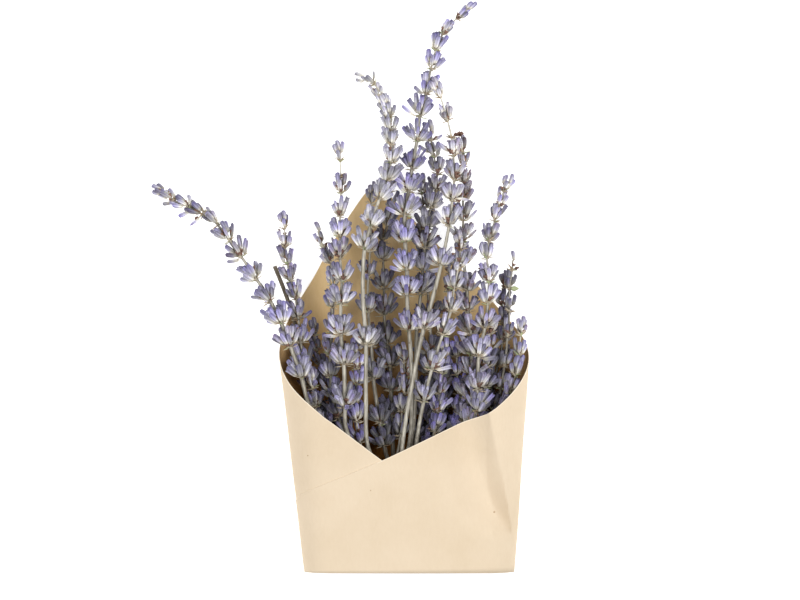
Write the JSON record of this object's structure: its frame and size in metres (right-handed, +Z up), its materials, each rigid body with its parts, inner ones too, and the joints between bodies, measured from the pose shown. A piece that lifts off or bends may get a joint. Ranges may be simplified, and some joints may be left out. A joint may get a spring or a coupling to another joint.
{
  "type": "dried lavender bunch",
  "caption": "Bunch of dried lavender lying on its back in a kraft paper wrap, its flower spikes fanning out of the open front and one corner of the sheet standing behind them.",
  "frame": {"origin": "on the flat back of the paper wrap that the bunch lies on, straight under the band that ties the stems, at the middle of the tied bundle's width", "axes": "+Y runs from the cut ends to the flower tips, +X to the right seen from the open front, +Z up from the surface through the front of the wrap"},
  "size_m": [0.164, 0.2459, 0.0399],
  "materials": {
    "kraft_paper": "matte",
    "tie": "matte",
    "bare_stem": "matte",
    "lavender": "matte"
  },
  "bodies": {
    "root": {"paper_wrap": "kraft_paper", "stem_back_left": "lavender", "stem_back_middle": "lavender", "stem_back_right": "lavender", "stem_back_tall": "lavender", "stem_curled": "lavender", "stem_cut_stub": "bare_stem", "stem_far_left": "lavender", "stem_front_cross": "lavender", "stem_front_right": "lavender", "stem_left_side": "lavender", "stem_left_tall": "lavender", "stem_left_upright": "lavender", "stem_low_back_left": "lavender", "stem_low_back_right": "lavender", "stem_low_left": "lavender", "stem_low_left_middle": "lavender", "stem_low_middle": "lavender", "stem_low_right": "lavender", "stem_low_right_middle": "lavender", "stem_low_right_side": "lavender", "stem_middle_lean": "lavender", "stem_right_arch": "lavender", "stem_right_back": "lavender", "stem_right_column": "lavender", "stem_right_rim": "lavender", "stem_right_slim": "lavender", "stem_tallest": "lavender", "tie_band": "tie"}
  },
  "joints": []
}
